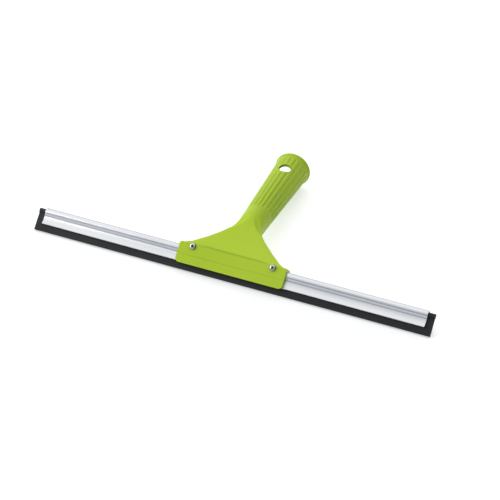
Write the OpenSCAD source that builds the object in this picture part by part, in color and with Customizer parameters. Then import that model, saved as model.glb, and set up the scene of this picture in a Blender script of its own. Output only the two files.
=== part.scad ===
// Window cleaning squeegee: rubber blade in an aluminium channel, held by a one-piece plastic handle.
// Rest pose: lying on its rubber edge and on the flared mouth of the grip. Millimetres.
// +X along the channel, +Y from the blade to the grip's mouth, +Z up, origin under the middle of the box.

/* [Blade] */
// length of the rubber strip
blade_length = 350; // [340:1:356]
// thickness of the wiping part
blade_thickness = 2.5; // [2.2:0.1:2.6]
// radius of the bead along the top edge
bead_radius = 2.25; // [2.1:0.05:2.3]

/* [Channel] */
// length of the aluminium extrusion
channel_length = 338; // [320:1:339]
// wall thickness of the extrusion
channel_wall = 1.0; // [0.95:0.05:1.05]

/* [Holder] */
// width of the part that wraps the channel
holder_width = 94.4; // [88:0.4:100]
// distance between the two screws
screw_spacing = 70.6; // [60:0.2:74]

/* [Grip] */
// radius of the slim end of the grip
neck_radius = 11.9; // [11.4:0.1:12]
// radius of the grip just before its mouth
grip_radius = 14.6; // [14.2:0.1:15]
// number of flutes around the grip
flute_count = 20; // [12:1:24]
// depth of each flute
flute_depth = 0.55; // [0.3:0.05:0.6]
// radius of the hanging hole
hang_hole_radius = 5.45; // [4:0.05:6]

/* [Pole socket] */
// radius of the bore that takes an extension pole
socket_radius = 11.8; // [11.4:0.05:11.9]
// length of the parallel bore
socket_length = 25; // [20:1:30]

/* [Hidden] */
$fn = 64;

// blade plane: s runs up the blade from the wiping edge, m points out of its upper face
tilt = 45;
edge_lift = blade_thickness / 2 * cos(tilt);

// channel section: round chamber, then a cove each side that leaves a neck, then the flared lip
chamber_s = 16.8;
chamber_radius = 3.6;
neck_s = 12.6;
neck_half = 2.1;
upper_cove = 3.03;
lower_cove = 11.05;
lip_s = 6.5;
pinch_angle = atan2(chamber_s - neck_s, neck_half + upper_cove);
lip_angle = asin((neck_s - lip_s) / lower_cove);
lip_half = neck_half + lower_cove * (1 - cos(lip_angle));
arc_steps = 8;

// blade section
web_half = 0.8;
web_start = 9;
web_end = 10.5;
web_angle = acos(web_half / bead_radius);

// holder section
holder_bottom = 4.9;
holder_rear_bottom = 6.6;
holder_top = 22.8;
holder_front = 6;
holder_rear = 5.7;
holder_corner = 3;
holder_depth = 12;
edge_round = 1.2;
top_round = 0.4;
slot_play = 0.12;

// screws, across the top of the channel
screw_s = 20.4;
shank_radius = 1.25;
shank_length = 11;
head_radius = 2.7;
head_height = 2.0;
hole_play = 0.12;
pad_radius = 3;
notch_width = 4;
notch_floor = 19;
notch_height = 8;
pilot_depth = 5.3;
recess_length = 3.3;
recess_width = 0.9;
recess_depth = 1.2;

// grip: its axis falls towards its mouth, which is at mouth_y in distances along it
grip_fall = 3.6;
mouth_y = 149.5;
mouth_centre = [148.57, 15.7];
rim_radius = 15.8;
rim_length = 4.5;
rim_start = 3;
rim_swell = 0.35;
lip_round = 1.1;
taper_start = 66;
mouth_flare = 14.2;
flare_length = 2;
hollow_start = 56;
hollow_slim = 9.4;
hollow_wide = 11;
flute_radius = 1.6;
flute_fade = 2.5;
flute_start = 66;
flute_end = 145;
hang_hole_y = 127.4;

// bell-shaped neck: distance along the grip, half width, top, bottom, with heights over the floor
neck = [
    [12.4, 43.8, 20.4, 15.6],
    [17.7, 39.6, 20.9, 15.6],
    [21.2, 35.2, 21.4, 15.9],
    [25.1, 30.3, 22.2, 16.9],
    [29.1, 25.7, 23.3, 18.2],
    [33, 21.1, 24.7, 19.3],
    [37, 17.1, 26.3, 19.8],
    [41, 14.2, 28.0, 18.8],
    [45, 12.5, 29.7, 16.8],
    [49, 11.7, 31.4, 13.8],
    [55, 11.6, 32.8, 11.0]
];
neck_clear = 62;
side_margin = 3;

mid_y = (mouth_y - edge_lift) / 2;

// stands a section drawn as [m, s] on the blade plane and runs it along X
module along_blade(length) {
    translate([-length / 2, -mid_y, edge_lift])
    rotate([tilt, 0, 0])
    rotate([90, 0, 90])
    linear_extrude(length)
    mirror([1, -1, 0])
    children();
}

// puts an object drawn on the Z axis at [x, s], pointing out of the blade's upper face
module out_of_blade(x, s) {
    translate([x, -mid_y, edge_lift])
    rotate([tilt, 0, 0])
    translate([0, s, 0])
    children();
}

// lays an object drawn on the Z axis along the grip's axis, with -Y as the grip's upper side
module on_grip() {
    translate([0, mouth_centre[0] - mid_y, mouth_centre[1]])
    rotate([-90 - grip_fall, 0, 0])
    translate([0, 0, -mouth_y])
    children();
}

// height over the grip's axis of a point at distance y along it and z over the floor
function over_axis(y, z) =
    (z - mouth_centre[1] - (mouth_y - y) * sin(grip_fall)) / cos(grip_fall);

// points along an arc, leaving out its start when it follows another
function arc(ca, cb, r, from, to, first = 0) =
    [for (i = [first:arc_steps]) let (t = from + (to - from) * i / arc_steps)
        [ca + r * cos(t), cb + r * sin(t)]];

// a half outline, drawn on the upper side, made whole by its mirror image on the lower side
function whole(half) =
    concat(half, [for (i = [len(half) - 1:-1:0]) if (half[i][0] > 0.001) [-half[i][0], half[i][1]]]);

// ---- blade ----
// one side of the blade, from its wiping edge to the top of its bead
function half_blade() = concat(
    [[blade_thickness / 2, 0], [blade_thickness / 2, web_start], [web_half, web_end]],
    arc(0, chamber_s, bead_radius, -web_angle, 90)
);

module blade() {
    color([0.06, 0.06, 0.065])
    along_blade(blade_length)
    polygon(whole(half_blade()));
}

// ---- channel ----
// one side of the channel's skin, moved outwards by c, from the top of the chamber to the lip
function skin(c) = concat(
    arc(0, chamber_s, chamber_radius + c, 90, -pinch_angle),
    arc(neck_half + upper_cove, neck_s, upper_cove - c, 180 - pinch_angle, 180, 1),
    arc(neck_half + lower_cove, neck_s, lower_cove - c, 180, 180 + lip_angle, 1)
);

// everything inside that skin, carried on past the lips so that it cuts right through
module inside_skin(c) {
    polygon(whole(concat(skin(c), [[lip_half + c, holder_bottom - 2]])));
}

module channel() {
    color([0.78, 0.79, 0.81])
    difference() {
        along_blade(channel_length) difference() {
            polygon(whole(skin(0)));
            inside_skin(-channel_wall);
        }
        for (side = [-1, 1])
            out_of_blade(side * screw_spacing / 2, notch_floor)
            translate([-notch_width / 2, 0, -notch_height / 2])
            cube([notch_width, notch_height, notch_height]);
    }
}

// ---- handle ----
// the holder cut across the blade, as [m, s]
function holder_section() = concat(
    arc(holder_front - edge_round, holder_bottom + edge_round, edge_round, -90, 0),
    arc(holder_front - top_round, holder_top - top_round, top_round, 0, 90),
    arc(edge_round - holder_rear, holder_top - edge_round, edge_round, 90, 180),
    arc(edge_round - holder_rear, holder_rear_bottom + edge_round, edge_round, 180, 270)
);

module holder_outline() {
    half = holder_width / 2;
    polygon(concat(
        arc(half - holder_corner, holder_bottom + holder_corner, holder_corner, -90, 0),
        arc(half - edge_round, holder_top - edge_round, edge_round, 0, 90),
        arc(edge_round - half, holder_top - edge_round, edge_round, 90, 180),
        arc(holder_corner - half, holder_bottom + holder_corner, holder_corner, 180, 270)
    ));
}

module holder() {
    intersection() {
        along_blade(holder_width) polygon(holder_section());
        out_of_blade(0, 0) translate([0, 0, -holder_depth]) linear_extrude(2 * holder_depth) holder_outline();
    }
    for (side = [-1, 1])
        out_of_blade(side * screw_spacing / 2, screw_s) cylinder(r = pad_radius, h = holder_front);
}

// bell-shaped neck, slim grip and flared mouth in one turned outline,
// cut above and below by the neck's side view
module grip_outside() {
    reach = rim_radius + side_margin;
    on_grip() intersection() {
        rotate_extrude() polygon(concat(
            [[0, neck[0][0]]],
            [for (row = neck) [row[1], row[0]]],
            [[neck_radius, taper_start], [grip_radius, mouth_y - rim_length]],
            [[grip_radius + rim_swell, mouth_y - rim_start], [rim_radius, mouth_y - lip_round]],
            arc(rim_radius - lip_round, mouth_y - lip_round, lip_round, 0, 90, 1),
            [[0, mouth_y]]
        ));
        translate([-rim_radius * 3, 0, 0])
        rotate([90, 0, 90])
        linear_extrude(rim_radius * 6)
        polygon(concat(
            [for (row = neck) [-over_axis(row[0], row[2]), row[0]]],
            [[-reach, neck_clear], [-reach, mouth_y + 1], [reach, mouth_y + 1], [reach, neck_clear]],
            [for (i = [len(neck) - 1:-1:0]) [-over_axis(neck[i][0], neck[i][3]), neck[i][0]]]
        ));
    }
}

module grip_inside() {
    seat_end = mouth_y - flare_length;
    on_grip() {
        translate([0, 0, seat_end - socket_length]) cylinder(r = socket_radius, h = socket_length);
        translate([0, 0, seat_end]) cylinder(r1 = socket_radius, r2 = mouth_flare, h = flare_length);
        translate([0, 0, seat_end]) cylinder(r = socket_radius, h = flare_length + 1);
        translate([0, 0, hollow_start]) cylinder(r1 = hollow_slim, r2 = hollow_wide,
            h = seat_end - socket_length - hollow_start);
    }
}

module flute(turn) {
    length = flute_end - flute_start;
    slope = atan2(grip_radius - neck_radius, mouth_y - rim_length - taper_start);
    on_grip()
    rotate([0, 0, turn])
    translate([0, neck_radius + flute_radius - flute_depth, flute_start])
    rotate([-slope, 0, 0])
    rotate_extrude($fn = 24)
    polygon([[0, 0], [flute_radius - flute_depth, 0], [flute_radius, flute_fade],
        [flute_radius, length - flute_fade], [flute_radius - flute_depth, length], [0, length]]);
}

module handle() {
    color([0.52, 0.68, 0.13])
    difference() {
        union() {
            holder();
            grip_outside();
        }
        along_blade(holder_width + 2) inside_skin(slot_play);
        grip_inside();
        for (i = [0:flute_count - 1]) flute(360 * i / flute_count);
        on_grip() translate([0, 0, hang_hole_y]) rotate([90, 0, 0])
            cylinder(r = hang_hole_radius, h = rim_radius + side_margin);
        for (side = [-1, 1]) out_of_blade(side * screw_spacing / 2, screw_s) {
            cylinder(r = shank_radius + hole_play, h = holder_front + 1);
            translate([0, 0, -pilot_depth]) cylinder(r = shank_radius + 0.01, h = pilot_depth + 1);
        }
    }
}

// ---- screws ----
module screw(side) {
    color([0.8, 0.8, 0.78])
    out_of_blade(side * screw_spacing / 2, screw_s)
    translate([0, 0, holder_front])
    difference() {
        union() {
            translate([0, 0, -shank_length]) cylinder(r = shank_radius, h = shank_length);
            rotate_extrude() polygon([[0, 0], [head_radius, 0], [head_radius, head_height * 0.35],
                [head_radius * 0.93, head_height * 0.7], [head_radius * 0.72, head_height * 0.94],
                [head_radius * 0.5, head_height], [0, head_height]]);
        }
        for (turn = [0, 90]) rotate([0, 0, turn])
            translate([-recess_length / 2, -recess_width / 2, head_height - recess_depth])
            cube([recess_length, recess_width, recess_depth + 1]);
    }
}

module screw_left() { screw(-1); }

module screw_right() { screw(1); }

blade();
channel();
handle();
screw_left();
screw_right();
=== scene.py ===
import math
import bmesh
import bpy
from mathutils import Matrix, Vector


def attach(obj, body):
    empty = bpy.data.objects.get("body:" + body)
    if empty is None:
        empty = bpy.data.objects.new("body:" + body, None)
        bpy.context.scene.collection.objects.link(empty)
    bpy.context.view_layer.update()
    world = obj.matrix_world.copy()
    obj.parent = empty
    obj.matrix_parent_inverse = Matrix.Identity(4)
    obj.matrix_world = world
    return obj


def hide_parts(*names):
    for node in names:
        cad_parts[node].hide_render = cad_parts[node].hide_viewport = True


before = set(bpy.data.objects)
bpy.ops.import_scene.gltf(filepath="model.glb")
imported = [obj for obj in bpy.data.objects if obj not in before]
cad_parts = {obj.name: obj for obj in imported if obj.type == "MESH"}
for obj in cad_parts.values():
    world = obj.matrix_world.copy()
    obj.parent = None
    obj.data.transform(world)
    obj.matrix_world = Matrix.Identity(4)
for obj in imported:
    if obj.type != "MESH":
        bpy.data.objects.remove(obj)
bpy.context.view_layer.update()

# ---------------------------------------------------------------------------------------------
# Rubber blade: a strip of black natural rubber, extruded with a round bead along its top edge
# and cut square to length. The bead is pinched inside the channel and holds the strip there.
# ---------------------------------------------------------------------------------------------
MM = 0.001
SLOPE = math.radians(45)
BLADE_LONG = 350 * MM
BLADE_HALF = 1.25 * MM
EDGE_LIFT = BLADE_HALF * math.cos(SLOPE)
MOUTH_Y = 149.5 * MM
MIDDLE_Y = (MOUTH_Y - EDGE_LIFT) / 2
BEAD_S = 16.8 * MM
BEAD_R = 2.25 * MM
WEB_HALF = 0.8 * MM
WEB_FROM = 9 * MM
WEB_TO = 10.5 * MM
BLADE_EDGE_ROUND = 0.12 * MM

# a section is drawn with x as the way out of the blade's upper face and y as the way up the blade;
# this stands it on the blade plane, with its own z running along the squeegee
BLADE_PLANE = Matrix.Translation((0, -MIDDLE_Y, EDGE_LIFT)) @ Matrix.Rotation(SLOPE, 4, "X") @ Matrix(
    ((0, 0, 1, 0), (0, 1, 0, 0), (1, 0, 0, 0), (0, 0, 0, 1)))


def carry_arc(bm, start, centre, degrees, steps):
    """Carries an outline on from one of its corners along an arc, and gives the arc's last corner."""
    made = bmesh.ops.spin(bm, geom=[start], cent=centre, axis=(0, 0, 1), angle=math.radians(degrees),
                          steps=steps, space=Matrix())
    return [g for g in made["geom_last"] if isinstance(g, bmesh.types.BMVert)][0]


def carry_line(bm, start, place):
    """Carries an outline on from one of its corners along a straight line."""
    end = bm.verts.new(place)
    bm.edges.new((start, end))
    return end


def mirror_outline(bm):
    """Adds the other half of an outline and joins the two where they meet."""
    bmesh.ops.mirror(bm, geom=bm.verts[:] + bm.edges[:], axis="X", merge_dist=1e-6)
    bmesh.ops.remove_doubles(bm, verts=bm.verts[:], dist=1e-6)


def run_along(bm, length):
    """Fills a closed outline and runs it along the squeegee as a solid bar."""
    face = bmesh.ops.contextual_create(bm, geom=bm.edges[:])["faces"]
    bmesh.ops.translate(bm, verts=bm.verts[:], vec=(0, 0, -length / 2))
    made = bmesh.ops.extrude_face_region(bm, geom=face, use_keep_orig=True)["geom"]
    far_end = [g for g in made if isinstance(g, bmesh.types.BMVert)]
    bmesh.ops.translate(bm, verts=far_end, vec=(0, 0, length))
    bmesh.ops.recalc_face_normals(bm, faces=bm.faces[:])


def round_edges(bm, edges, radius, steps=2):
    """Rounds edges of a solid over in a few steps."""
    bmesh.ops.bevel(bm, geom=edges, offset=radius, offset_type="OFFSET", segments=steps, profile=0.5,
                    affect="EDGES", clamp_overlap=True, material=-1)


def set_down(bm, name, place, crease=35):
    """Makes the finished piece, smooth except where its faces meet at more than the crease angle."""
    bm.transform(place)
    if place.to_3x3().determinant() < 0:
        bmesh.ops.reverse_faces(bm, faces=bm.faces[:])
    for face in bm.faces:
        face.smooth = True
    for edge in bm.edges:
        edge.smooth = len(edge.link_faces) == 2 and edge.calc_face_angle(0) < math.radians(crease)
    mesh = bpy.data.meshes.new(name)
    bm.to_mesh(mesh)
    bm.free()
    piece = bpy.data.objects.new(name, mesh)
    bpy.context.scene.collection.objects.link(piece)
    return piece


def even_shading(piece):
    """Keeps the flat faces looking flat beside their small rounded edges."""
    weigh = piece.modifiers.new("even shading", "WEIGHTED_NORMAL")
    weigh.keep_sharp = True
    weigh.weight = 90


def shader(name):
    """An empty material with its surface shader, and a short way to add and join nodes."""
    finish = bpy.data.materials.new(name)
    finish.use_nodes = True
    tree = finish.node_tree
    surface = tree.nodes["Principled BSDF"]

    def node(kind, **values):
        made = tree.nodes.new(kind)
        for key, value in values.items():
            setattr(made, key, value)
        return made

    def join(out, into):
        tree.links.new(out, into)

    return finish, surface, node, join


def pattern(node, join, scale, detail=4, rough=0.55, stretch=(1, 1, 1)):
    """A noise pattern fixed to the piece, in cells per metre, stretched along an axis where asked."""
    place = node("ShaderNodeTexCoord")
    lay = node("ShaderNodeMapping")
    lay.inputs["Scale"].default_value = stretch
    noise = node("ShaderNodeTexNoise")
    noise.inputs["Scale"].default_value = scale
    noise.inputs["Detail"].default_value = detail
    noise.inputs["Roughness"].default_value = rough
    join(place.outputs["Object"], lay.inputs["Vector"])
    join(lay.outputs["Vector"], noise.inputs["Vector"])
    return noise.outputs["Fac"]


def ramp(node, join, source, stops):
    """Turns a pattern into tones or amounts: stops are (place, grey or colour)."""
    scale = node("ShaderNodeValToRGB")
    band = scale.color_ramp
    while len(band.elements) < len(stops):
        band.elements.new(0.5)
    for element, (place, tone) in zip(band.elements, stops):
        element.position = place
        element.color = (tone, tone, tone, 1) if isinstance(tone, (int, float)) else (*tone, 1)
    join(source, scale.inputs["Fac"])
    return scale.outputs["Color"]


def relief(node, join, height, depth, under=None):
    """A small relief on the surface: depth is in metres for a full step of the height."""
    bump = node("ShaderNodeBump")
    bump.inputs["Strength"].default_value = 1.0
    bump.inputs["Distance"].default_value = depth
    join(height, bump.inputs["Height"])
    if under is not None:
        join(under, bump.inputs["Normal"])
    return bump.outputs["Normal"]


bm = bmesh.new()
corner = bm.verts.new((BLADE_HALF, 0, 0))
corner = carry_line(bm, corner, (BLADE_HALF, WEB_FROM, 0))
corner = carry_line(bm, corner, (WEB_HALF, WEB_TO, 0))
bead_low = math.sqrt(BEAD_R ** 2 - WEB_HALF ** 2)
corner = carry_line(bm, corner, (WEB_HALF, BEAD_S - bead_low, 0))
bead_turn = 90 + math.degrees(math.acos(WEB_HALF / BEAD_R))
corner = carry_arc(bm, corner, (0, BEAD_S, 0), bead_turn, 14)
corner.co.x = 0
mirror_outline(bm)
bm.edges.new([v for v in bm.verts if v.co.y < 1e-6])
run_along(bm, BLADE_LONG)
round_edges(bm, [e for e in bm.edges if e.calc_face_angle(0) > math.radians(60)], BLADE_EDGE_ROUND)
blade = set_down(bm, "rubber_blade", BLADE_PLANE)
even_shading(blade)

rubber, face, node, join = shader("black rubber")
bloom = pattern(node, join, 60, 5, 0.6, (0.25, 1, 1))
join(ramp(node, join, bloom, [(0.3, (0.004, 0.005, 0.006)), (0.75, (0.009, 0.010, 0.012))]),
     face.inputs["Base Color"])
drag = pattern(node, join, 900, 3, 0.5, (0.03, 1, 1))
join(ramp(node, join, drag, [(0.3, 0.46), (0.7, 0.6)]), face.inputs["Roughness"])
grain = pattern(node, join, 2600, 2, 0.5)
join(relief(node, join, grain, 0.00002, relief(node, join, drag, 0.00003)), face.inputs["Normal"])
face.inputs["Specular IOR Level"].default_value = 0.27
blade.data.materials.append(rubber)
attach(blade, "blade")
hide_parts("blade")

# ---------------------------------------------------------------------------------------------
# Channel: an aluminium extrusion, drawn as one thin skin that closes round the bead, pinches in
# at a neck and flares out to two lips. Sawn to length, with two notches for the screws.
# ---------------------------------------------------------------------------------------------
CHANNEL_LONG = 338 * MM
CHANNEL_WALL = 1.0 * MM
CHAMBER_R = 3.6 * MM
NECK_S = 12.6 * MM
NECK_HALF = 2.1 * MM
UPPER_COVE = 3.03 * MM
LOWER_COVE = 11.05 * MM
LIP_S = 6.5 * MM
PINCH = math.degrees(math.atan2(BEAD_S - NECK_S, NECK_HALF + UPPER_COVE))
FLARE = math.degrees(math.asin((NECK_S - LIP_S) / LOWER_COVE))
SAWN_EDGE_ROUND = 0.16 * MM
SCREW_S = 20.4 * MM
SCREW_X = 35.3 * MM
NOTCH_HALF = 2 * MM
NOTCH_LOW = 19 * MM
NOTCH_HIGH = 24 * MM
NOTCH_DEEP = 4 * MM


def skin_outline(bm, out=0.0, steps=(16, 10, 12)):
    """One side of the channel's skin from the top of its chamber to its lip, moved outwards by out."""
    top = bm.verts.new((0, BEAD_S + CHAMBER_R + out, 0))
    side = carry_arc(bm, top, (0, BEAD_S, 0), -90 - PINCH, steps[0])
    waist = carry_arc(bm, side, (NECK_HALF + UPPER_COVE, NECK_S, 0), PINCH, steps[1])
    return carry_arc(bm, waist, (NECK_HALF + LOWER_COVE, NECK_S, 0), FLARE, steps[2])


def cut(piece, tools, way="DIFFERENCE"):
    """Cuts tool shapes out of a piece, or joins them to it, and clears the tools away."""
    for tool in tools:
        step = piece.modifiers.new("cut", "BOOLEAN")
        step.operation = way
        step.solver = "EXACT"
        step.object = tool
    bpy.context.view_layer.update()
    finished = piece.evaluated_get(bpy.context.evaluated_depsgraph_get())
    mesh = bpy.data.meshes.new_from_object(finished)
    piece.modifiers.clear()
    old = piece.data
    piece.data = mesh
    bpy.data.meshes.remove(old)
    for tool in tools:
        bpy.data.objects.remove(tool)


def block(name, low, high, place):
    """A plain cutting block between two corners."""
    bm = bmesh.new()
    bmesh.ops.create_cube(bm, size=1)
    bmesh.ops.scale(bm, verts=bm.verts[:], vec=[b - a for a, b in zip(low, high)])
    bmesh.ops.translate(bm, verts=bm.verts[:], vec=[(a + b) / 2 for a, b in zip(low, high)])
    return set_down(bm, name, place)


def crisp(piece, crease=35):
    """Marks the creases again after cutting, and smooths everything between them."""
    bm = bmesh.new()
    bm.from_mesh(piece.data)
    bmesh.ops.remove_doubles(bm, verts=bm.verts[:], dist=2e-7)
    for face in bm.faces:
        face.smooth = True
    for edge in bm.edges:
        edge.smooth = len(edge.link_faces) == 2 and edge.calc_face_angle(0) < math.radians(crease)
    bm.to_mesh(piece.data)
    bm.free()


bm = bmesh.new()
skin_outline(bm)
mirror_outline(bm)
bmesh.ops.translate(bm, verts=bm.verts[:], vec=(0, 0, -CHANNEL_LONG / 2))
made = bmesh.ops.extrude_edge_only(bm, edges=bm.edges[:])["geom"]
far_end = [g for g in made if isinstance(g, bmesh.types.BMVert)]
bmesh.ops.translate(bm, verts=far_end, vec=(0, 0, CHANNEL_LONG))
bmesh.ops.recalc_face_normals(bm, faces=bm.faces[:])
crown = max(bm.faces, key=lambda f: f.calc_center_median().y)
if crown.normal.y < 0:
    bmesh.ops.reverse_faces(bm, faces=bm.faces[:])
bmesh.ops.solidify(bm, geom=bm.faces[:], thickness=CHANNEL_WALL)
bmesh.ops.recalc_face_normals(bm, faces=bm.faces[:])
round_edges(bm, [e for e in bm.edges if e.calc_face_angle(0) > math.radians(60)], SAWN_EDGE_ROUND)
channel = set_down(bm, "aluminium_channel", BLADE_PLANE)
cut(channel, [block("notch", (-NOTCH_DEEP, NOTCH_LOW, x - NOTCH_HALF),
                    (NOTCH_DEEP, NOTCH_HIGH, x + NOTCH_HALF), BLADE_PLANE) for x in (-SCREW_X, SCREW_X)])
crisp(channel)
even_shading(channel)

aluminium, face, node, join = shader("extruded aluminium")
die_lines = pattern(node, join, 1500, 4, 0.6, (0.004, 1, 1))
cloud = pattern(node, join, 25, 3, 0.5, (0.4, 1, 1))
join(ramp(node, join, cloud, [(0.3, (0.520, 0.530, 0.546)), (0.7, (0.568, 0.577, 0.590))]),
     face.inputs["Base Color"])
join(ramp(node, join, die_lines, [(0.3, 0.26), (0.7, 0.34)]), face.inputs["Roughness"])
join(relief(node, join, die_lines, 0.00003), face.inputs["Normal"])
face.inputs["Metallic"].default_value = 1.0
face.inputs["Specular Tint"].default_value = (0.55, 0.56, 0.58, 1)
channel.data.materials.append(aluminium)
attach(channel, "handle")
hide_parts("channel")

# ---------------------------------------------------------------------------------------------
# Handle: one lime-green moulding in satin polypropylene. A holder wraps the channel, a bell-shaped
# neck narrows to a hollow grip with twenty soft flutes, and the grip ends in a flared open mouth.
# ---------------------------------------------------------------------------------------------
GRIP_FALL = math.radians(3.6)
MOUTH_CENTRE_Y = 148.57 * MM
MOUTH_CENTRE_Z = 15.7 * MM
RIM_R = 15.8 * MM
GRIP_R = 14.6 * MM
NECK_R = 11.9 * MM
LIP_ROUND = 1.1 * MM
TAPER_FROM = 66 * MM
TAPER_TO = 145 * MM
FLUTES = 20
FLUTE_DEEP = 0.7 * MM
HANG_HOLE_Y = 127.4 * MM
HANG_HOLE_R = 5.45 * MM
HOLDER_HALF = 47.2 * MM
HOLDER_LOW = 4.9 * MM
HOLDER_HIGH = 22.8 * MM
HOLDER_FRONT = 6 * MM
HOLDER_REAR = -5.7 * MM
REAR_JAW_LOW = 6.6 * MM
LINE_S = 12.5
VALLEY_END_Z = 20.5
CAP_MIDDLE_Z = 18 * MM
PAD_R = 3.0 * MM

# the grip is drawn along +Y from the blade edge, then laid on its axis, which falls to its mouth
ON_GRIP = (Matrix.Translation((0, MOUTH_CENTRE_Y - MIDDLE_Y, MOUTH_CENTRE_Z))
           @ Matrix.Rotation(-GRIP_FALL, 4, "X") @ Matrix.Translation((0, -MOUTH_Y, 0)))

# neck, in mm: distance along the grip, half width, then heights over the floor of its top, its
# underside and its widest line, how square its section is above that line and below it, then the
# half width of the flat tongue on its top and the depth of the hollow beside the tongue
NECK = [
    (12.0, 44.8, 19.80, 15.60, 18.0, 9.0, 9.0, 40.0, 0),
    (13.2, 44.8, 19.62, 15.60, 18.0, 9.0, 9.0, 40.0, 0),
    (13.7, 44.4, 19.48, 15.60, 18.0, 9.0, 9.0, 40.0, 0),
    (14.1, 43.6, 19.60, 15.60, 18.0, 9.0, 9.0, 40.0, 0),
    (14.7, 42.2, 20.12, 15.60, 18.0, 9.0, 9.0, 40.0, 0),
    (15.4, 41.0, 20.40, 15.60, 18.0, 9.0, 9.0, 39.0, 0),
    (17.7, 38.5, 20.74, 15.60, 18.1, 9.0, 9.0, 37.0, 0),
    (21.2, 34.6, 21.35, 15.90, 18.6, 9.0, 9.0, 33.0, 0),
    (25.1, 29.7, 22.20, 16.90, 19.5, 8.5, 9.0, 28.0, 0),
    (29.1, 25.1, 23.25, 18.20, 20.7, 8.0, 9.0, 23.5, 0),
    (33.0, 20.6, 24.55, 19.30, 21.9, 7.5, 8.0, 19.2, 0),
    (37.0, 16.5, 26.00, 19.80, 22.9, 7.0, 6.0, 14.6, 0.2),
    (41.0, 13.6, 27.60, 19.00, 23.0, 4.8, 4.4, 9.4, 1.0),
    (45.0, 12.0, 29.40, 16.80, 22.6, 3.3, 3.2, 5.4, 1.35),
    (49.0, 11.5, 31.15, 13.60, 22.1, 2.5, 2.6, 2.6, 0.9),
    (53.0, 11.5, 32.40, 11.40, 21.8, 2.15, 2.3, 1.0, 0.25),
    (57.0, 11.6, 33.00, 10.20, 21.53, 2.05, 2.1, 0.5, 0),
    (61.0, 11.73, 33.02, 9.60, 21.26, 2.0, 2.02, 0.5, 0),
    (66.0, 11.90, 32.84, 9.02, 20.94, 2.0, 2.0, 0.5, 0),
]


def fade(value, start, end):
    """A smooth step from 0 at the start to 1 at the end."""
    t = min(1, max(0, (value - start) / (end - start)))
    return t * t * (3 - 2 * t)


def neck_at(y):
    """The neck's section at y, on a smooth curve through the table's rows."""
    rows = NECK
    k = max(i for i in range(len(rows) - 1) if rows[i][0] <= y + 1e-9)
    a, b = rows[k], rows[k + 1]
    before, after = rows[max(k - 1, 0)], rows[min(k + 2, len(rows) - 1)]
    t = (y - a[0]) / (b[0] - a[0])
    values = []
    for c in range(1, 9):
        slope_a = (b[c] - before[c]) / (b[0] - before[0]) * (b[0] - a[0])
        slope_b = (after[c] - a[c]) / (after[0] - a[0]) * (b[0] - a[0])
        values.append((2 * t ** 3 - 3 * t ** 2 + 1) * a[c] + (t ** 3 - 2 * t ** 2 + t) * slope_a
                      + (3 * t ** 2 - 2 * t ** 3) * b[c] + (t ** 3 - t ** 2) * slope_b)
    return values


def neck_section(y, count=1440):
    """Even steps round half of the neck's section at y, from its top to its underside, in mm."""
    half, top, bottom, widest, square_top, square_low, tongue, hollow = neck_at(y)
    points = []
    for i in range(count + 1):
        turn = math.pi * i / count
        if turn < math.pi / 2:
            square, tall = square_top, top - widest
        else:
            square, tall = square_low, widest - bottom
        across = half * abs(math.sin(turn)) ** (2 / square)
        height = widest + tall * math.copysign(abs(math.cos(turn)) ** (2 / square), math.cos(turn))
        if turn < math.pi / 2:
            inner, outer = fade(across, tongue, tongue + 3.4), fade(across, tongue + 3.4, half + 0.1)
            height -= hollow * inner * (1 - outer)
        points.append((across, height))
    travel = [0.0]
    for a, b in zip(points, points[1:]):
        travel.append(travel[-1] + math.dist(a, b))
    even = []
    k = 0
    for i in range(FLUTES * 5 + 1):
        goal = travel[-1] * i / (FLUTES * 5)
        while k < count - 1 and travel[k + 1] < goal:
            k += 1
        t = min(1, (goal - travel[k]) / (travel[k + 1] - travel[k]))
        even.append([p + (q - p) * t for p, q in zip(points[k], points[k + 1])])
    return even


def spaced(start, end, step):
    """Even places from start up to, but not at, the end."""
    count = max(1, round((end - start) / step))
    return [start + (end - start) * i / count for i in range(count)]


# outline of the turned shell: out of the front cap, along the outside, round the lip and back inside
outside = (spaced(12, 16, 0.25) + spaced(16, 66, 0.75) + spaced(66, 71, 0.5) + spaced(71, 140, 2.0)
           + spaced(140, 145, 0.5))
bm = bmesh.new()
tip = bm.verts.new((0, outside[0] * MM, 0))
for y in outside:
    if y < TAPER_FROM / MM:
        radius = NECK_R
    else:
        radius = NECK_R + (GRIP_R - NECK_R) * (y * MM - TAPER_FROM) / (TAPER_TO - TAPER_FROM)
    tip = carry_line(bm, tip, (radius, y * MM, 0))
tip = carry_line(bm, tip, (GRIP_R, TAPER_TO, 0))
for y, radius in ((145.8, 14.7), (146.6, 14.85), (147.3, 15.15), (147.9, 15.55)):
    tip = carry_line(bm, tip, (radius * MM, y * MM, 0))
tip = carry_line(bm, tip, (RIM_R, MOUTH_Y - LIP_ROUND, 0))
tip = carry_arc(bm, tip, (RIM_R - LIP_ROUND, MOUTH_Y - LIP_ROUND, 0), 90, 6)
# the inside, in mm, from the lip inwards: the bore that takes a pole, then a tapering hollow
for y, radius in ((149.46, 14.3), (149.25, 13.95), (148.7, 13.5), (148.1, 12.7), (147.5, 11.8),
                  (147.0, 11.8), (135.0, 11.8), (122.7, 11.8), (122.5, 11.6), (122.4, 11.0), (90.0, 10.1),
                  (57.0, 9.25), (56.3, 8.9), (56.0, 8.2)):
    tip = carry_line(bm, tip, (radius * MM, y * MM, 0))
tip = carry_line(bm, tip, (0, 56 * MM, 0))
bmesh.ops.spin(bm, geom=bm.verts[:] + bm.edges[:], cent=(0, 0, 0), axis=(0, 1, 0), angle=2 * math.pi,
               steps=FLUTES * 10, use_merge=True, space=Matrix())
bmesh.ops.remove_doubles(bm, verts=bm.verts[:], dist=1e-7)
bmesh.ops.recalc_face_normals(bm, faces=bm.faces[:])

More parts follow.
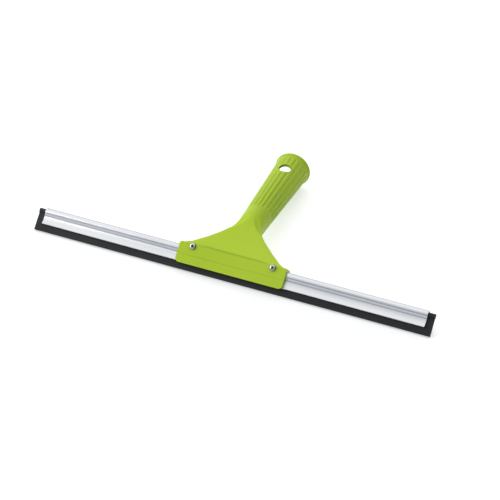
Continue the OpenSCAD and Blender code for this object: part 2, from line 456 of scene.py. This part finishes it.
sections = {}
for vert in bm.verts:
    x, y, z = vert.co
    radius = math.hypot(x, z)
    turn = math.atan2(x, z)
    skin = NECK_R + (GRIP_R - NECK_R) * max(0, y - TAPER_FROM) / (TAPER_TO - TAPER_FROM)
    if y < 13 * MM and radius < 0.01 * MM:
        # the middle of the front cap goes down into the plate, which lies under the grip's axis
        axis_height = MOUTH_CENTRE_Z + math.sin(GRIP_FALL) * (MOUTH_Y - y)
        vert.co.z = (CAP_MIDDLE_Z - axis_height) / math.cos(GRIP_FALL)
    elif radius > skin - 0.02 * MM and TAPER_FROM < y < TAPER_TO:
        soft = max(0, (math.cos(FLUTES * turn) - 0.05) / 0.95)
        deep = FLUTE_DEEP * soft * fade(y / MM, 66, 69.5) * (1 - fade(y / MM, 141.5, 144.8))
        if z > 0:
            # the flutes stop at a plain margin round the hanging hole
            from_hole = math.hypot(x, y - HANG_HOLE_Y) - HANG_HOLE_R
            deep *= fade(from_hole, 0.6 * MM, 2.6 * MM)
        vert.co.x, vert.co.z = x * (radius - deep) / radius, z * (radius - deep) / radius
    elif y < TAPER_FROM + 0.01 * MM and radius > NECK_R - 0.02 * MM:
        step = round(abs(turn) / math.pi * FLUTES * 5)
        where = round(y / MM, 4)
        if where not in sections:
            sections[where] = neck_section(where)
        across, tall = sections[where][step]
        if tall > 18.6 and where < 16.5:
            # the dip behind the band dies out before it reaches the screws
            tall += max(0, VALLEY_END_Z - tall) * fade(across, 20, 33) * fade(tall, 18.6, 19.4)
        vert.co.x = math.copysign(across, x) * MM
        axis_height = MOUTH_CENTRE_Z + math.sin(GRIP_FALL) * (MOUTH_Y - y)
        vert.co.z = (tall * MM - axis_height) / math.cos(GRIP_FALL)
handle = set_down(bm, "lime_handle", ON_GRIP)

# the holder: a block lying on the blade plane, its rear jaw shorter than its front, and its front
# stepped out a little over the channel's lip
bm = bmesh.new()
bmesh.ops.create_cube(bm, size=1)
bmesh.ops.scale(bm, verts=bm.verts[:],
                vec=(HOLDER_FRONT - HOLDER_REAR, HOLDER_HIGH - HOLDER_LOW, 2 * HOLDER_HALF))
bmesh.ops.translate(bm, verts=bm.verts[:],
                    vec=((HOLDER_FRONT + HOLDER_REAR) / 2, (HOLDER_HIGH + HOLDER_LOW) / 2, 0))
for s in (LINE_S - 0.45, LINE_S, LINE_S + 0.45):
    bmesh.ops.bisect_plane(bm, geom=bm.verts[:] + bm.edges[:] + bm.faces[:], plane_co=(0, s * MM, 0),
                           plane_no=(0, 1, 0))
for vert in bm.verts:
    if vert.co.x < 0 and vert.co.y < 10 * MM:
        vert.co.y = REAR_JAW_LOW
    elif vert.co.x > 0:
        above_line = vert.co.y / MM - LINE_S
        vert.co.x += (0.11 if above_line < -0.3 else -0.22 if above_line < 0.2 else -0.11) * MM


def edges_where(bm, keep):
    """Sharp edges picked by where their middles lie, as m, s and x in mm, and by how they run."""
    return [e for e in bm.edges if e.calc_face_angle(0) > math.radians(50)
            and keep(*((e.verts[0].co + e.verts[1].co) / 2 / MM), (e.verts[0].co - e.verts[1].co) / MM)]


round_edges(bm, edges_where(bm, lambda m, s, x, run: abs(run.x) > 5 and s < 8), 3.4 * MM, 8)
round_edges(bm, edges_where(bm, lambda m, s, x, run: abs(run.x) > 5 and s > 20), 1.4 * MM, 5)
round_edges(bm, edges_where(bm, lambda m, s, x, run: m > 0 and s > 20), 0.8 * MM, 5)
round_edges(bm, edges_where(bm, lambda m, s, x, run: True), 0.8 * MM, 4)
for x in spaced(-41.3, 41.3, 1.9):
    bmesh.ops.bisect_plane(bm, geom=bm.verts[:] + bm.edges[:] + bm.faces[:], dist=1e-7,
                           plane_co=(0, 0, x * MM), plane_no=(0, 0, 1))
holder = set_down(bm, "holder", BLADE_PLANE)


def rod(name, radius, s, x, bottom, top, sides=64):
    """A round rod standing out of the blade's upper face."""
    bm = bmesh.new()
    bmesh.ops.create_cone(bm, cap_ends=True, segments=sides, radius1=radius, radius2=radius,
                          depth=top - bottom)
    bmesh.ops.rotate(bm, verts=bm.verts[:], cent=(0, 0, 0), matrix=Matrix.Rotation(math.pi / 2, 3, "Y"))
    bmesh.ops.translate(bm, verts=bm.verts[:], vec=((top + bottom) / 2, s, x))
    return set_down(bm, name, BLADE_PLANE)


pads = [rod("pad", PAD_R, SCREW_S, x, 0, HOLDER_FRONT) for x in (-SCREW_X, SCREW_X)]
cut(handle, [holder] + pads, "UNION")

# the slot for the channel, the hanging hole and the screw holes are cut out of the joined moulding
bm = bmesh.new()
lip = skin_outline(bm, 0.12 * MM, (10, 6, 8))
carry_line(bm, lip, (lip.co.x, 2 * MM, 0))
mirror_outline(bm)
bm.edges.new([v for v in bm.verts if v.co.y < 2.001 * MM])
run_along(bm, 2 * HOLDER_HALF + 4 * MM)
slot_tool = set_down(bm, "slot", BLADE_PLANE)
bm = bmesh.new()
bmesh.ops.create_cone(bm, cap_ends=True, segments=72, radius1=HANG_HOLE_R, radius2=HANG_HOLE_R,
                      depth=20 * MM)
bmesh.ops.translate(bm, verts=bm.verts[:], vec=(0, HANG_HOLE_Y, 12 * MM))
hole_tool = set_down(bm, "hole", ON_GRIP)
screw_tools = [rod("drill", 1.3 * MM, SCREW_S, x, -5.3 * MM, 8 * MM, 32) for x in (-SCREW_X, SCREW_X)]
cut(handle, [slot_tool, hole_tool] + screw_tools)
crisp(handle, 38)
even_shading(handle)

lime, face, node, join = shader("lime polypropylene")
tint = pattern(node, join, 14, 3, 0.5)
plain = ramp(node, join, tint, [(0.3, (0.322, 0.450, 0.019)), (0.7, (0.346, 0.474, 0.026))])


def line_mask(node, join, along, at, wide, reach):
    """1 on a line across the holder at one distance along a direction, fading out sideways."""
    place = node("ShaderNodeTexCoord")
    across = node("ShaderNodeVectorMath", operation="DOT_PRODUCT")
    across.inputs[1].default_value = along
    gap = node("ShaderNodeMath", operation="SUBTRACT")
    gap.inputs[1].default_value = at
    gap_size = node("ShaderNodeMath", operation="ABSOLUTE")
    near = node("ShaderNodeMapRange", interpolation_type="SMOOTHSTEP")
    near.inputs["From Min"].default_value, near.inputs["From Max"].default_value = wide, 0.0
    split = node("ShaderNodeSeparateXYZ")
    side = node("ShaderNodeMath", operation="ABSOLUTE")
    middle = node("ShaderNodeMapRange", interpolation_type="SMOOTHSTEP")
    middle.inputs["From Min"].default_value, middle.inputs["From Max"].default_value = reach, reach * 0.55
    both = node("ShaderNodeMath", operation="MULTIPLY")
    join(place.outputs["Object"], across.inputs[0])
    join(across.outputs["Value"], gap.inputs[0])
    join(gap.outputs[0], gap_size.inputs[0])
    join(gap_size.outputs[0], near.inputs["Value"])
    join(place.outputs["Object"], split.inputs[0])
    join(split.outputs["X"], side.inputs[0])
    join(side.outputs[0], middle.inputs["Value"])
    join(near.outputs["Result"], both.inputs[0])
    join(middle.outputs["Result"], both.inputs[1])
    return both.outputs[0]


# painted shade darkens the dip behind the band and the fine line across it, where shade gathers in these
# creases
DIP_Y = -61.75 * MM
dip = line_mask(node, join, (0, 1, 0), DIP_Y, 1.9 * MM, 37 * MM)
UP_BLADE = (0, math.cos(SLOPE), math.sin(SLOPE))
line_at = LINE_S * MM - MIDDLE_Y * math.cos(SLOPE) + EDGE_LIFT * math.sin(SLOPE)
fine = line_mask(node, join, UP_BLADE, line_at, 0.6 * MM, 52 * MM)
dip_painted_shade = node("ShaderNodeMix", data_type="RGBA", blend_type="MULTIPLY")
dip_painted_shade.inputs["B"].default_value = (0.62, 0.65, 0.60, 1)
line_painted_shade = node("ShaderNodeMix", data_type="RGBA", blend_type="MULTIPLY")
line_painted_shade.inputs["B"].default_value = (0.87, 0.88, 0.86, 1)
join(dip, dip_painted_shade.inputs["Factor"])
join(plain, dip_painted_shade.inputs["A"])
join(fine, line_painted_shade.inputs["Factor"])
join(dip_painted_shade.outputs["Result"], line_painted_shade.inputs["A"])
# painted shade: the base colour darkens from the neck onwards, so the grip is a little darker than the
# holder
where = node("ShaderNodeTexCoord")
axes = node("ShaderNodeSeparateXYZ")
grip_shade_amount = node("ShaderNodeMapRange", interpolation_type="SMOOTHSTEP")
grip_shade_amount.inputs["From Min"].default_value, grip_shade_amount.inputs["From Max"].default_value = -36 * MM, 4 * MM
grip_painted_shade = node("ShaderNodeMix", data_type="RGBA", blend_type="MULTIPLY")
grip_painted_shade.inputs["B"].default_value = (0.86, 0.88, 0.80, 1)
join(where.outputs["Object"], axes.inputs[0])
join(axes.outputs["Y"], grip_shade_amount.inputs["Value"])
join(grip_shade_amount.outputs["Result"], grip_painted_shade.inputs["Factor"])
join(line_painted_shade.outputs["Result"], grip_painted_shade.inputs["A"])
join(grip_painted_shade.outputs["Result"], face.inputs["Base Color"])
scuff = pattern(node, join, 420, 5, 0.65, (1, 0.25, 1))
join(ramp(node, join, scuff, [(0.35, 0.36), (0.65, 0.46)]), face.inputs["Roughness"])
orange_peel = pattern(node, join, 1800, 2, 0.5)
join(relief(node, join, orange_peel, 0.00002, relief(node, join, scuff, 0.00002)), face.inputs["Normal"])
face.inputs["Subsurface Weight"].default_value = 0.08
face.inputs["Subsurface Radius"].default_value = (0.0015, 0.0018, 0.0006)
face.inputs["Subsurface Scale"].default_value = 1.0
face.inputs["Specular IOR Level"].default_value = 0.14
handle.data.materials.append(lime)
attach(handle, "handle")
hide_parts("handle")

# ---------------------------------------------------------------------------------------------
# Screws: two self-tapping pan-head screws in bright zinc plate, cross-recessed, driven through
# the holder and across the channel's notches so that the channel can't slide.
# ---------------------------------------------------------------------------------------------
HEAD_R = 2.7 * MM
HEAD_HIGH = 2.0 * MM
RECESS_REACH = 1.9 * MM

zinc, face, node, join = shader("zinc plated steel")
plate = pattern(node, join, 700, 4, 0.6)
join(ramp(node, join, plate, [(0.3, (0.37, 0.37, 0.36)), (0.7, (0.54, 0.54, 0.525))]),
     face.inputs["Base Color"])
join(ramp(node, join, plate, [(0.3, 0.2), (0.7, 0.34)]), face.inputs["Roughness"])
join(relief(node, join, plate, 0.00001), face.inputs["Normal"])
face.inputs["Metallic"].default_value = 1.0

# painted shade: a dark zinc for the screw's recess and the rim of its head, where shade falls
zinc_painted_shade, face, node, join = shader("zinc with painted shade in the recess")
recess_mottle = pattern(node, join, 900, 3, 0.6)
join(ramp(node, join, recess_mottle, [(0.3, (0.03, 0.03, 0.03)), (0.7, (0.08, 0.08, 0.077))]),
     face.inputs["Base Color"])
join(ramp(node, join, recess_mottle, [(0.3, 0.45), (0.7, 0.6)]), face.inputs["Roughness"])
face.inputs["Metallic"].default_value = 1.0

for name, x, turn in (("screw_left", -SCREW_X, 12), ("screw_right", SCREW_X, 38)):
    bm = bmesh.new()
    tip = bm.verts.new((0, 0, -11 * MM))
    # half of the screw's outline in mm, from its point up the shank and over the head
    for radius, height in ((0.35, -10.6), (1.25, -9.0), (1.25, 0), (2.55, 0), (2.7, 0.15), (2.7, 0.6),
                           (2.65, 0.95), (2.48, 1.28), (2.2, 1.56), (1.8, 1.78), (1.3, 1.94),
                           (0.65, 2.0), (0, 2.0)):
        tip = carry_line(bm, tip, (radius * MM, 0, height * MM))
    bmesh.ops.spin(bm, geom=bm.verts[:] + bm.edges[:], cent=(0, 0, 0), axis=(0, 0, 1), angle=2 * math.pi,
                   steps=48, use_merge=True, space=Matrix())
    bmesh.ops.remove_doubles(bm, verts=bm.verts[:], dist=1e-7)
    bmesh.ops.recalc_face_normals(bm, faces=bm.faces[:])
    stand = (BLADE_PLANE @ Matrix.Translation((HOLDER_FRONT, SCREW_S, x))
             @ Matrix.Rotation(math.pi / 2, 4, "Y") @ Matrix.Rotation(math.radians(turn), 4, "Z"))
    screw = set_down(bm, name + "_zinc", stand)
    wings = []
    for quarter in (0, 90):
        bm = bmesh.new()
        bmesh.ops.create_cube(bm, size=1)
        bmesh.ops.scale(bm, verts=bm.verts[:], vec=(3.6 * MM, 1.25 * MM, 3 * MM))
        for vert in bm.verts:
            if vert.co.z < 0:
                vert.co.x *= 0.45
                vert.co.y *= 0.8
        bmesh.ops.translate(bm, verts=bm.verts[:], vec=(0, 0, 2.15 * MM))
        bmesh.ops.rotate(bm, verts=bm.verts[:], cent=(0, 0, 0),
                         matrix=Matrix.Rotation(math.radians(quarter), 3, "Z"))
        wings.append(set_down(bm, "wing", stand))
    cut(screw, wings)
    crisp(screw)
    screw.data.materials.append(zinc)
    screw.data.materials.append(zinc_painted_shade)
    # painted shade: the recess, and the rim where the head meets the holder, take a dark zinc that stands
    # in for the shade there, darker than the crown
    to_screw = stand.inverted()
    for polygon in screw.data.polygons:
        spot, facing = to_screw @ polygon.center, to_screw.to_3x3() @ polygon.normal
        out = math.hypot(spot.x, spot.y)
        recess = out < RECESS_REACH and 0.4 * MM < spot.z < HEAD_HIGH - 0.12 * MM
        rim = out > HEAD_R - 0.2 * MM and facing.z < 0.5
        if rim or recess and (abs(facing.z) < 0.75 or spot.z < 1.3 * MM):
            polygon.material_index = 1
    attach(screw, "handle")
    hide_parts(name)

# ---------------------------------------------------------------------------------------------
# Room: a sheet of white paper as the floor, soft light from above and the left, and the camera,
# which looks down on the squeegee from the front.
# ---------------------------------------------------------------------------------------------
KEY_PLACE = Vector((-1.2, -0.75, 0.8))
AROUND = math.radians(20.71)
ABOVE = math.radians(38.32)
TIP = math.radians(1.81)
AWAY = 2.058
SHIFT_LEFT = 8.63 * MM
SHIFT_DOWN = 15.68 * MM

bm = bmesh.new()
bmesh.ops.create_grid(bm, x_segments=1, y_segments=1, size=3)
floor = set_down(bm, "pale_floor", Matrix())
paper, face, node, join = shader("white paper")
fibre = pattern(node, join, 40, 3, 0.5)
join(ramp(node, join, fibre, [(0.2, 0.60), (0.8, 0.62)]), face.inputs["Base Color"])
face.inputs["Roughness"].default_value = 0.9
face.inputs["Specular IOR Level"].default_value = 0.1
face.inputs["Emission Color"].default_value = (1, 1, 1, 1)
# the sheet glows a little so that it stays white, and glows more behind the blade than in front
place = node("ShaderNodeTexCoord")
split = node("ShaderNodeSeparateXYZ")
glow = node("ShaderNodeMapRange", interpolation_type="SMOOTHSTEP")
for name, value in (("From Min", -0.09), ("From Max", -0.055), ("To Min", 0.29), ("To Max", 0.52)):
    glow.inputs[name].default_value = value
join(place.outputs["Object"], split.inputs[0])
join(split.outputs["Y"], glow.inputs["Value"])
join(glow.outputs["Result"], face.inputs["Emission Strength"])
floor.data.materials.append(paper)

# the studio: soft light that is brightest overhead and behind, over darker walls in front, which
# the metal picks up as bands
room = bpy.data.worlds.new("studio")
bpy.context.scene.world = room
room.use_nodes = True
tree = room.node_tree
look = tree.nodes.new("ShaderNodeTexCoord")
towards = tree.nodes.new("ShaderNodeVectorMath")
towards.operation = "DOT_PRODUCT"
towards.inputs[1].default_value = (-0.45, 0.38, 0.808)
spread = tree.nodes.new("ShaderNodeMapRange")
spread.inputs["From Min"].default_value = -1
spread.inputs["From Max"].default_value = 1
walls = tree.nodes.new("ShaderNodeValToRGB")
sky = tree.nodes["Background"]
tree.links.new(look.outputs["Generated"], towards.inputs[0])
tree.links.new(towards.outputs["Value"], spread.inputs["Value"])
tree.links.new(spread.outputs["Result"], walls.inputs["Fac"])
tree.links.new(walls.outputs["Color"], sky.inputs["Color"])
WALLS = ((0.0, (0.18, 0.21, 0.26)), (0.36, (0.22, 0.25, 0.31)), (0.5, (0.31, 0.35, 0.41)),
         (0.68, (0.58, 0.60, 0.64)), (0.82, (0.88, 0.88, 0.89)), (0.95, (1.15, 1.15, 1.15)))
while len(walls.color_ramp.elements) < len(WALLS):
    walls.color_ramp.elements.new(0.5)
for element, (place, tone) in zip(walls.color_ramp.elements, WALLS):
    element.position = place
    element.color = (*tone, 1)
sky.inputs["Strength"].default_value = 1.32

key = bpy.data.lights.new("key", "AREA")
key.shape = "SQUARE"
key.size = 1.0
key.energy = 12
key.color = (1, 1, 0.99)
lamp = bpy.data.objects.new("key", key)
bpy.context.scene.collection.objects.link(lamp)
lamp.location = KEY_PLACE
lamp.rotation_euler = (-KEY_PLACE).to_track_quat("-Z", "Y").to_euler()

back = Vector((math.sin(AROUND) * math.cos(ABOVE), -math.cos(AROUND) * math.cos(ABOVE), math.sin(ABOVE)))
right = Vector((math.cos(AROUND), math.sin(AROUND), 0))
up = back.cross(right)
stand = back * AWAY - right * SHIFT_LEFT - up * SHIFT_DOWN
right, up = right * math.cos(TIP) + up * math.sin(TIP), up * math.cos(TIP) - right * math.sin(TIP)
lens = bpy.data.cameras.new("view")
lens.sensor_width = 36
lens.lens = 175.9
lens.clip_start = 0.01
camera = bpy.data.objects.new("view", lens)
bpy.context.scene.collection.objects.link(camera)
camera.matrix_world = Matrix.Translation(stand) @ Matrix((right, up, back)).transposed().to_4x4()
bpy.context.scene.camera = camera
bpy.context.scene.view_settings.view_transform = "Standard"
